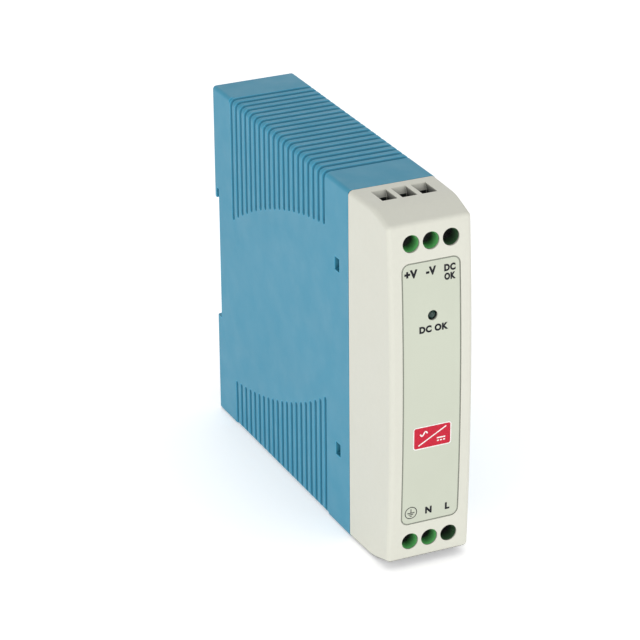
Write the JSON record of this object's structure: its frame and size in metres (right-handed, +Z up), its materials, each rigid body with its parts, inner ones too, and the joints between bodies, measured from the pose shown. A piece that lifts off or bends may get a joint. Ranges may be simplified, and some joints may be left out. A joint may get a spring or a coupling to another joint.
{
  "type": "din rail power supply",
  "caption": "Slim DIN rail power supply with grooved housing, clipped front cover, status light, screw terminals at top and bottom and a sprung rail latch.",
  "frame": {"origin": "middle of the plane where the case sits on the rail's front flanges, half way up the rail and half way across the case", "axes": "+Z up, front cover faces -Y, back and rail side +Y, +X along the rail to the right of a person facing the front"},
  "size_m": [0.0226, 0.1016, 0.09],
  "materials": {
    "housing_blue": "fine satin moulding",
    "cover_ivory": "fine satin moulding",
    "label_film": "satin printed film",
    "led_lens": "dark green tinted lens",
    "latch_plastic": "satin moulding",
    "terminal_green": "semi-gloss moulding",
    "black_plastic": "matt",
    "zinc_steel": "bright zinc plate",
    "spring_steel": "drawn wire",
    "tinned_brass": "tin plate",
    "tinned_wire": "tinned copper wire",
    "gold_pin": "gold flash",
    "board_green": "solder mask",
    "insulation_film": "thin polyester sheet",
    "fuse_glass": "clear",
    "nickel_cap": "nickel plate",
    "thermistor_disc": "matt coating",
    "film_capacitor": "gloss moulding",
    "ceramic_disc": "gloss coating",
    "ferrite": "ground ferrite",
    "enamel_copper": "enamelled copper wire",
    "chip_epoxy": "moulded epoxy",
    "opto_epoxy": "moulded epoxy",
    "capacitor_sleeve": "shrink sleeve over aluminium",
    "yellow_tape": "polyester tape",
    "heat_sink_aluminium": "mill finish",
    "relay_case": "moulded case",
    "resistor_body": "lacquered body",
    "solder": "bright solder"
  },
  "bodies": {
    "supply": {"rear_housing": "housing_blue", "front_cover": "cover_ivory", "front_label": "label_film", "status_led": "led_lens", "led_leads": "tinned_wire", "led_spacer": "black_plastic", "output_terminal_block": "terminal_green", "input_terminal_block": "terminal_green", "output_terminal_contacts": "tinned_brass", "input_terminal_contacts": "tinned_brass", "main_circuit_board": "board_green", "front_circuit_board": "board_green", "board_header": "black_plastic", "board_header_pins": "gold_pin", "insulation_sheet": "insulation_film", "fuse_tube": "fuse_glass", "fuse_end_caps": "nickel_cap", "fuse_clips": "nickel_cap", "inrush_thermistor": "thermistor_disc", "x_capacitor": "film_capacitor", "y_capacitor": "ceramic_disc", "choke_core": "ferrite", "choke_windings": "enamel_copper", "choke_base": "black_plastic", "bridge_rectifier": "chip_epoxy", "bulk_capacitor": "capacitor_sleeve", "transformer_core": "ferrite", "transformer_bobbin": "black_plastic", "transformer_winding": "enamel_copper", "transformer_tape": "yellow_tape", "switching_transistor": "chip_epoxy", "output_rectifier": "chip_epoxy", "primary_heat_sink": "heat_sink_aluminium", "secondary_heat_sink": "heat_sink_aluminium", "heat_sink_screws": "zinc_steel", "output_capacitors": "capacitor_sleeve", "auxiliary_capacitor": "capacitor_sleeve", "output_inductor_core": "ferrite", "output_inductor_winding": "enamel_copper", "optocoupler": "opto_epoxy", "control_ic": "chip_epoxy", "dc_ok_relay": "relay_case", "resistors": "resistor_body", "component_leads": "tinned_wire", "solder_joints": "solder", "latch_spring": "spring_steel"},
    "latch": {"rail_latch": "latch_plastic"},
    "screw_positive": {"screw_positive": "zinc_steel"},
    "cage_positive": {"cage_positive": "tinned_brass"},
    "screw_negative": {"screw_negative": "zinc_steel"},
    "cage_negative": {"cage_negative": "tinned_brass"},
    "screw_dc_ok": {"screw_dc_ok": "zinc_steel"},
    "cage_dc_ok": {"cage_dc_ok": "tinned_brass"},
    "screw_earth": {"screw_earth": "zinc_steel"},
    "cage_earth": {"cage_earth": "tinned_brass"},
    "screw_neutral": {"screw_neutral": "zinc_steel"},
    "cage_neutral": {"cage_neutral": "tinned_brass"},
    "screw_line": {"screw_line": "zinc_steel"},
    "cage_line": {"cage_line": "tinned_brass"}
  },
  "joints": [
    {"name": "rail_latch_slide", "type": "slide", "parent": "supply", "child": "latch", "axis": [0, 0, -1], "range_m": [0, 0.0035], "stiffness_N_per_m": 1000, "springref_m": -0.004, "deforming": ["latch_spring"]},
    {"name": "screw_positive_turn", "type": "hinge", "parent": "supply", "child": "screw_positive", "pos_m": [-0.00493, -0.088, 0.038], "axis": [0, 1, 0], "range_deg": [0, 1440]},
    {"name": "cage_positive_rise", "type": "slide", "parent": "supply", "child": "cage_positive", "axis": [0, -1, 0], "range_m": [0, 0.002]},
    {"name": "screw_negative_turn", "type": "hinge", "parent": "supply", "child": "screw_negative", "pos_m": [0.00015, -0.088, 0.038], "axis": [0, 1, 0], "range_deg": [0, 1440]},
    {"name": "cage_negative_rise", "type": "slide", "parent": "supply", "child": "cage_negative", "axis": [0, -1, 0], "range_m": [0, 0.002]},
    {"name": "screw_dc_ok_turn", "type": "hinge", "parent": "supply", "child": "screw_dc_ok", "pos_m": [0.00523, -0.088, 0.038], "axis": [0, 1, 0], "range_deg": [0, 1440]},
    {"name": "cage_dc_ok_rise", "type": "slide", "parent": "supply", "child": "cage_dc_ok", "axis": [0, -1, 0], "range_m": [0, 0.002]},
    {"name": "screw_earth_turn", "type": "hinge", "parent": "supply", "child": "screw_earth", "pos_m": [-0.00493, -0.088, -0.038], "axis": [0, 1, 0], "range_deg": [0, 1440]},
    {"name": "cage_earth_rise", "type": "slide", "parent": "supply", "child": "cage_earth", "axis": [0, -1, 0], "range_m": [0, 0.002]},
    {"name": "screw_neutral_turn", "type": "hinge", "parent": "supply", "child": "screw_neutral", "pos_m": [0.00015, -0.088, -0.038], "axis": [0, 1, 0], "range_deg": [0, 1440]},
    {"name": "cage_neutral_rise", "type": "slide", "parent": "supply", "child": "cage_neutral", "axis": [0, -1, 0], "range_m": [0, 0.002]},
    {"name": "screw_line_turn", "type": "hinge", "parent": "supply", "child": "screw_line", "pos_m": [0.00523, -0.088, -0.038], "axis": [0, 1, 0], "range_deg": [0, 1440]},
    {"name": "cage_line_rise", "type": "slide", "parent": "supply", "child": "cage_line", "axis": [0, -1, 0], "range_m": [0, 0.002]}
  ],
  "couplings": [
    {"joint": "screw_positive_turn", "follows": "cage_positive_rise", "rad_per_m": 12566},
    {"joint": "screw_negative_turn", "follows": "cage_negative_rise", "rad_per_m": 12566},
    {"joint": "screw_dc_ok_turn", "follows": "cage_dc_ok_rise", "rad_per_m": 12566},
    {"joint": "screw_earth_turn", "follows": "cage_earth_rise", "rad_per_m": 12566},
    {"joint": "screw_neutral_turn", "follows": "cage_neutral_rise", "rad_per_m": 12566},
    {"joint": "screw_line_turn", "follows": "cage_line_rise", "rad_per_m": 12566}
  ]
}
